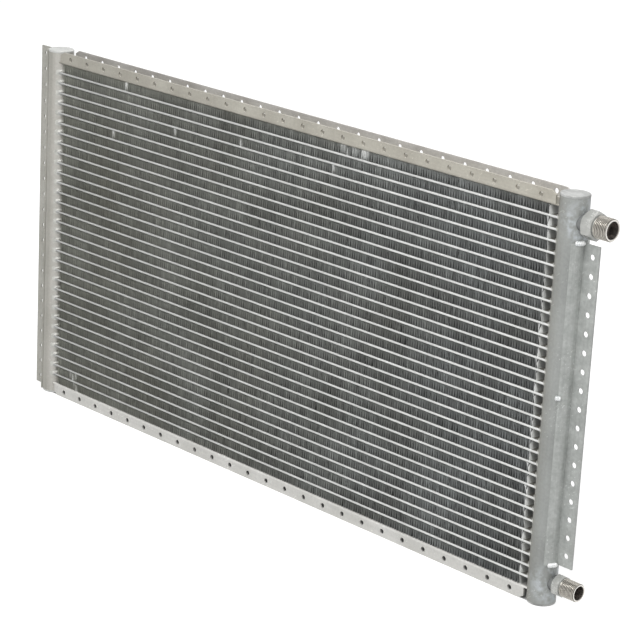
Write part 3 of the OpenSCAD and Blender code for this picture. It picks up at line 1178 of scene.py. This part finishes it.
@dataclass
class WeldBeads:
    """Rippled beads that hold the right bracket: one over each end and one over its front edge."""

    layout: Layout
    radius: float = 2.3 * MM
    gap: float = 0.1 * MM
    saddle: float = 1.8 * MM
    saddle_angle: float = math.radians(52)
    flange_half: float = 0.75 * MM
    end_sweep: float = math.radians(36)
    edge_sweep: float = math.radians(20)
    edge_height: float = 8.0 * MM
    ripple: float = 1.3 * MM
    smallest: float = 0.8
    flatness: float = 6.0
    thinnest: float = 0.002
    swell: float = 0.6
    steps: int = 60
    arc_points: int = 14

    @property
    def share(self) -> np.ndarray:
        """Places along a bead, from 0 to 1."""
        return np.linspace(0.0, 1.0, self.steps)

    @property
    def taper(self) -> np.ndarray:
        """How full the section is at each place, almost nothing at both ends."""
        fullness = 1 - np.abs(2 * self.share - 1) ** self.flatness
        return np.sqrt(np.clip(fullness, self.thinnest, 1))[:, None]

    def finish(self) -> MetalFinish:
        """Gives the bright weld metal.

        Returns:
            The finish.
        """
        return MetalFinish(
            "weld_metal", srgb(228, 232, 232), srgb(252, 252, 251), metallic=0.4, rough=(0.2, 0.4),
            patch=4 * MM, grain_tone=0.05, mottle=1.2 * MM, mottle_tone=0.4,
        )

    def build(self) -> None:
        """Makes and dresses the three beads, and lets them stand for the plain ones."""
        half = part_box("bracket_right")[1].z
        skin = self.layout.header_r + self.gap
        out, past = self.end_section(self.size(self.end_sweep * skin))
        flange = math.asin((self.flange_half + self.gap) / skin)
        angle = -flange - self.end_sweep * self.share
        top = self.around_header(out, angle, half + past)
        bottom = self.around_header(out, angle, -half - past)[:, ::-1]
        out, rise = self.edge_section(self.size(self.edge_sweep * skin))
        angle = -self.saddle_angle + self.edge_sweep * (0.5 - self.share)
        edge = self.around_header(out, angle, self.edge_height + rise)
        ends = Grid(np.stack([top, bottom]), cap_ends=True)
        piece = make_piece("weld_beads", [ends, Grid(edge[None], cap_ends=True)])
        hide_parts("bracket_welds")
        dress(piece, self.finish().material())

    def size(self, length: float) -> np.ndarray:
        """Gives a bead's radius along its length, which swells and shrinks with each puddle of weld."""
        wave = np.abs(np.sin(np.pi * length / self.ripple * self.share)) ** self.swell
        return self.radius * (self.smallest + (1 - self.smallest) * wave)[:, None]

    def end_section(self, size: np.ndarray) -> tuple[np.ndarray, np.ndarray]:
        """Gives the section of a bead over the bracket's end.

        It is an arc about the saddle's outer edge, with a notch for that edge.

        Args:
            size: The arc's radius by place along the bead.

        Returns:
            How far each point is out from the saddle's face and past its end, by place along the bead.
        """
        first = np.arccos(-self.saddle / size)
        last = -np.arccos(self.gap / size)
        turn = first + (last - first) * np.linspace(0, 1, self.arc_points)
        corner = np.full_like(size, self.gap)
        out = np.concatenate([size * np.cos(turn), corner, np.full_like(size, -self.saddle)], axis=1)
        past = np.concatenate([size * np.sin(turn), corner, corner], axis=1)
        return self.gap + (out - self.gap) * self.taper, self.gap + (past - self.gap) * self.taper

    def edge_section(self, size: np.ndarray) -> tuple[np.ndarray, np.ndarray]:
        """Gives the section of the bead over the front edge.

        It is an arc that the saddle cuts off, and past the saddle the header does.

        Args:
            size: The arc's radius by place along the bead.

        Returns:
            How far each point is out from the saddle's face and above the bead's middle.
        """
        base = np.where(self.share < 0.5, self.gap, -self.saddle)[:, None]
        turn = np.arccos(base / size) * np.linspace(1, -1, self.arc_points)
        return base + (size * np.cos(turn) - base) * self.taper, size * np.sin(turn) * self.taper

    def around_header(self, out: np.ndarray, angle: np.ndarray, height: np.ndarray) -> np.ndarray:
        """Places sections by their distance out from the saddle's face, angle from +X and height."""
        reach = self.layout.header_r + self.gap + self.saddle + out
        x = self.layout.header_x + reach * np.cos(angle)[:, None]
        y = self.layout.header_y + reach * np.sin(angle)[:, None]
        return np.stack([x, y, height], axis=-1)


@dataclass
class BrazeFillets:
    """Small fillets of braze where each flat tube enters a header, fuller on the left header."""

    layout: Layout
    left_width: float = 2.2 * MM
    right_width: float = 0.7 * MM
    nose_share: float = 0.4
    reach: float = 1.5 * MM
    sink: float = 0.15 * MM
    foot_share: float = 0.4
    size_range: Range = (0.75, 1.25)
    rim_share: float = 0.999
    nose_points: int = 9
    flat_points: int = 12
    curve_points: int = 5
    seed: int = 5

    def finish(self) -> MetalFinish:
        """Gives the pale braze metal.

        Returns:
            The finish.
        """
        return MetalFinish(
            "braze_metal", srgb(182, 182, 176), srgb(214, 214, 208), rough=(0.3, 0.5),
            patch=4 * MM, grain_tone=0.05, mottle=0.5 * MM, mottle_tone=0.25,
        )

    def build(self) -> None:
        """Makes and dresses the fillets of both headers."""
        material = self.finish().material()
        for name, side in (("braze_fillets_left", -1), ("braze_fillets_right", 1)):
            piece = make_piece(name, [Grid(self.rings(side), wrap_u=True)])
            dress(piece, material)

    def outline(self, flat: float) -> tuple[np.ndarray, np.ndarray]:
        """Walks once round a tube: its back nose, its upper flat, its front nose and its lower flat.

        Args:
            flat: Half the width of a tube's flats.

        Returns:
            At each place, how far back the middle of its nose is, and the angle that its surface faces.
        """
        nose = np.linspace(-np.pi / 2, np.pi / 2, self.nose_points)
        across = np.linspace(flat, -flat, self.flat_points + 2)[1:-1]
        even = np.ones(self.flat_points)
        spread = np.concatenate([flat * np.ones_like(nose), across, -flat * np.ones_like(nose), -across])
        turn = np.concatenate([nose, even * np.pi / 2, nose + np.pi, even * 3 * np.pi / 2])
        return spread, turn

    def rings(self, side: int) -> np.ndarray:
        """Runs a hollow fillet round each tube, on the header's curved skin.

        The fillet's section is a hollow quarter circle from the tube to the header's skin, closed just
        inside the header.

        Args:
            side: 1 for the right header and -1 for the left one.

        Returns:
            Points by tube, place round the tube, place on the fillet's section and axis.
        """
        layout = self.layout
        random = np.random.default_rng(self.seed + side)
        heights = (layout.tube_tops + layout.tube_bottoms)[:, None, None] / 2
        nose = (layout.tube_tops[0] - layout.tube_bottoms[0]) / 2
        spread, turn = self.outline((layout.tube_back - layout.tube_front) / 2 - nose)
        size = random.uniform(*self.size_range, (len(layout.tube_tops), len(turn)))
        size = (size + np.roll(size, 1, axis=1) + np.roll(size, -1, axis=1))[..., None] / 3
        rise = np.linspace(0, np.pi / 2, self.curve_points)
        full = self.right_width if side > 0 else self.left_width
        width = full * (self.nose_share + (1 - self.nose_share) * np.abs(np.sin(turn)))[:, None] * size
        off_tube = nose + width * np.append(1 - np.cos(rise), self.foot_share)
        off_skin = self.reach * size * np.append(1 - np.sin(rise), 0.0)
        sunk = np.append(np.zeros_like(rise), self.sink)
        across = spread[:, None] + np.cos(turn)[:, None] * off_tube
        limit = self.rim_share * layout.header_r
        skin = layout.header_x - np.sqrt(layout.header_r ** 2 - np.clip(across, -limit, limit) ** 2)
        x = side * (skin - off_skin + sunk)
        y = layout.depth_middle + across
        z = heights + np.sin(turn)[:, None] * off_tube
        return np.stack([x, y, z], axis=-1)[:, ::side]


@dataclass(frozen=True)
class PhotoCamera:
    """The camera that took the photograph, about the coil."""

    azimuth: float = math.radians(45.31)
    elevation: float = math.radians(17.32)
    roll: float = math.radians(3.08)
    distance: float = 2.1287
    target: Point = (0.0577, 0.0, 0.0022)
    lens: float = 135.48

    def build(self) -> None:
        """Places the camera and makes it the scene's own."""
        back = sight(self.azimuth, self.elevation)
        level = Vector((math.cos(self.azimuth), math.sin(self.azimuth), 0.0))
        upright = back.cross(level)
        right = level * math.cos(self.roll) + upright * math.sin(self.roll)
        up = upright * math.cos(self.roll) - level * math.sin(self.roll)
        data = bpy.data.cameras.new("photo_camera")
        data.lens = self.lens
        camera = add_object("photo_camera", data)
        turn = Matrix((right, up, back)).transposed().to_4x4()
        camera.matrix_world = Matrix.Translation(Vector(self.target) + back * self.distance) @ turn
        bpy.context.scene.camera = camera


@dataclass(frozen=True)
class SoftBox:
    """A square lamp that looks at the coil, placed by two angles in degrees."""

    name: str
    azimuth: float
    elevation: float
    distance: float
    size: float
    power: float

    def build(self) -> None:
        """Places the lamp."""
        back = sight(math.radians(self.azimuth), math.radians(self.elevation))
        data = bpy.data.lights.new(self.name, "AREA")
        data.size = self.size
        data.energy = self.power
        lamp = add_object(self.name, data)
        turn = back.to_track_quat("Z", "Y").to_matrix().to_4x4()
        lamp.matrix_world = Matrix.Translation(back * self.distance) @ turn


@dataclass
class Studio:
    """A pale floor, an even sky and soft boxes."""

    floor_z: float
    floor_half: float = 6.0
    floor_colour: Colour = (0.45, 0.45, 0.45)
    floor_lift: float = 0.8
    under_x: float = 330 * MM
    under_y: Range = (0.5 * MM, 19.5 * MM)
    shadow_share: float = 0.97
    sky_side: float = 0.36
    sky_top: float = 0.5
    lamps: tuple[SoftBox, ...] = (
        SoftBox("key_box", azimuth=30.0, elevation=50.0, distance=2.3, size=1.6, power=34.0),
        SoftBox("left_box", azimuth=-59.0, elevation=38.0, distance=2.3, size=0.5, power=5.0),
        SoftBox("back_box", azimuth=215.0, elevation=50.0, distance=2.8, size=1.6, power=13.0),
    )

    def build(self) -> None:
        """Makes the floor, the sky and the lamps."""
        scene = bpy.context.scene
        scene.view_settings.view_transform = "Standard"
        self.build_floor()
        self.build_sky(scene)
        for lamp in self.lamps:
            lamp.build()

    @staticmethod
    def seen(graph: Graph) -> Socket:
        """Gives 1 for rays of the camera and for those that gloss or glass send on, and else 0."""
        path = graph.node("ShaderNodeLightPath").outputs
        kinds = ("Is Camera Ray", "Is Glossy Ray", "Is Transmission Ray")
        camera, gloss, glass = (Socket(graph, path[kind]) for kind in kinds)
        return graph.math("MAXIMUM", graph.math("MAXIMUM", camera, gloss), glass)

    def build_floor(self) -> None:
        """Makes the floor, which seen rays find lifted to white except right under the coil."""
        half, height = self.floor_half, self.floor_z
        corners = [(-half, -half, height), (half, -half, height), (half, half, height), (-half, half, height)]
        mesh = bpy.data.meshes.new("floor")
        mesh.from_pydata(corners, [], [(0, 1, 2, 3)])
        material = bpy.data.materials.new("pale_floor")
        graph = Graph(material)
        matt = graph.node("ShaderNodeBsdfDiffuse", inputs={"Color": self.floor_colour})
        front, back = self.under_y
        off_middle = abs(graph.part(Axis.Y) - (front + back) / 2)
        # Painted shadow: the floor gets no glow under the coil's footprint
        under = abs(graph.part(Axis.X)).ramp(self.under_x, self.under_x - MM)
        under = under * off_middle.ramp((back - front) / 2, (back - front) / 2 - MM)
        glow = graph.node("ShaderNodeEmission", inputs={"Strength": self.floor_lift})
        lifted = graph.node("ShaderNodeAddShader", inputs={0: matt.outputs[0], 1: glow.outputs[0]})
        share = self.seen(graph) * (1 - self.shadow_share * under)
        both = graph.node("ShaderNodeMixShader", inputs={0: share, 1: matt.outputs[0], 2: lifted.outputs[0]})
        graph.node("ShaderNodeOutputMaterial", inputs={"Surface": both.outputs[0]})
        mesh.materials.append(material)
        add_object("floor", mesh)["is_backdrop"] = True

    def build_sky(self, scene: bpy.types.Scene) -> None:
        """Makes a sky that is white where it is seen, and lights the coil more from above.

        Args:
            scene: The scene.
        """
        world = bpy.data.worlds.new("studio_sky")
        scene.world = world
        graph = Graph(world, "Generated")
        height = graph.part(Axis.Z)
        light = self.sky_side + (self.sky_top - self.sky_side) * height.ramp(0.0, 1.0)
        seen = self.seen(graph)
        strength = seen + (1 - seen) * light
        sky = graph.node("ShaderNodeBackground", inputs={"Color": (1.0, 1.0, 1.0), "Strength": strength})
        graph.node("ShaderNodeOutputWorld", inputs={"Surface": sky.outputs[0]})


@dataclass
class Coil:
    """The whole coil: its frame's nodes, its new pieces and their finishes."""

    frame: dict[str, Any]
    layout: Layout

    def mount(self, name: str) -> dict[str, Any]:
        """Finds a mount of the record by its name."""
        return next(mount for mount in self.frame["record"]["mounts"] if mount["name"] == name)

    def build(self) -> None:
        """Makes the new pieces and dresses everything."""
        FinStack(self.layout).build()
        self.fitting("inlet", neck_r=8.0 * MM, passage_r=5.0 * MM, pitch=INCH / 16).build()
        self.fitting("outlet", neck_r=6.5 * MM, passage_r=3.75 * MM, pitch=INCH / 18).build()
        WeldBeads(self.layout).build()
        BrazeFillets(self.layout).build()
        self.dress_frame()

    def fitting(self, port: str, neck_r: float, passage_r: float, pitch: float) -> ThreadedFitting:
        """Lays out one fitting from its mounts.

        Args:
            port: Which fitting, inlet or outlet.
            neck_r: Radius of its neck.
            passage_r: Radius of the passage through it.
            pitch: Pitch of its thread.

        Returns:
            The fitting.
        """
        thread, socket = self.mount(f"{port}_thread"), self.mount(f"{port}_socket")
        return ThreadedFitting(port, thread, socket, self.layout, neck_r, passage_r, pitch)

    def dress_frame(self) -> None:
        """Gives every node of the frame that still shows its finish."""
        fitting_points = tuple(
            (self.layout.header_x + self.layout.header_r, *self.mount(name)["pos_m"][1:])
            for name in ("inlet_thread", "outlet_thread")
        )
        middle = self.layout.depth_middle
        blotched = {"mottle": 2.6 * MM, "mottle_tone": 0.3}
        finishes = {
            # The headers' tints are light and shade painted round each header
            "header_left": HeaderFinish("left_header_metal", srgb(154, 152, 145), srgb(168, 166, 160),
                                        axis_x=-self.layout.header_x, radius=self.layout.header_r,
                                        left_tint=(1.1, 1.1, 1.08), right_tint=(1.5, 1.5, 1.52),
                                        shading_range=(0.05, 0.5), **blotched),
            "header_right": HeaderFinish("right_header_metal", srgb(150, 151, 147), srgb(168, 169, 165),
                                         axis_x=self.layout.header_x, radius=self.layout.header_r,
                                         left_tint=(0.84, 0.83, 0.8), right_tint=(1.0, 1.02, 1.04),
                                         shading_range=(-0.6, 0.3), fitting_points=fitting_points,
                                         scratch_tone=0.5, **blotched),
            # The caps are lit and shaded copies of one metal: the left cap's is painted lighter
            "cap_left": MetalFinish("left_cap_lit_metal", srgb(194, 195, 192), srgb(212, 213, 210),
                                    grain_axis=Axis.X, **blotched),
            "cap_right": MetalFinish("right_cap_metal", srgb(152, 153, 151), srgb(196, 197, 195),
                                     patch=9 * MM, grain_axis=Axis.X, **blotched),
            "baffle": MetalFinish("baffle_metal", srgb(160, 160, 156), srgb(178, 178, 174)),
            "side_plate_top": PlateFinish("top_plate_sheet", srgb(166, 162, 151), srgb(188, 185, 174),
                                          grain_axis=Axis.X, painted_light_ends=(0.9, 1.2), depth_middle=middle,
                                          back_light_tint=(1.36, 1.38, 1.52), **blotched),
            "side_plate_bottom": PlateFinish("bottom_plate_sheet", srgb(203, 202, 197), srgb(220, 219, 215),
                                             grain_axis=Axis.X, depth_middle=middle, **blotched),
            "bracket_left": MetalFinish("left_bracket_metal", srgb(160, 159, 151), srgb(180, 179, 172),
                                        **blotched),
            "bracket_right": MetalFinish("right_bracket_metal", srgb(166, 169, 166), srgb(188, 191, 188),
                                         patch=12 * MM, mottle=2.6 * MM, mottle_tone=0.5, grain_tone=0.3,
                                         scratch_tone=0.4),
            "tube": TubeFinish("tube_metal", srgb(214, 215, 213), srgb(236, 237, 235), grain_axis=Axis.X,
                               grain=0.5 * MM, patch=25 * MM, painted_light_ends=(0.6, 1.0), depth_middle=middle),
        }
        materials = {start: finish.material() for start, finish in finishes.items()}
        for name, node in self.frame["nodes"].items():
            start = next((key for key in materials if name.startswith(key)), None)
            if start is not None:
                dress(node, materials[start])


def main() -> None:
    """Loads the frame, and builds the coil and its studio."""
    logging.basicConfig(level=logging.INFO, format="%(name)s: %(message)s")
    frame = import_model()
    cad_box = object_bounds()
    layout = Layout.read(list(frame["nodes"]))
    Coil(frame, layout).build()
    Studio(cad_box[0].z).build()
    PhotoCamera().build()


if __name__ == "__main__":
    main()
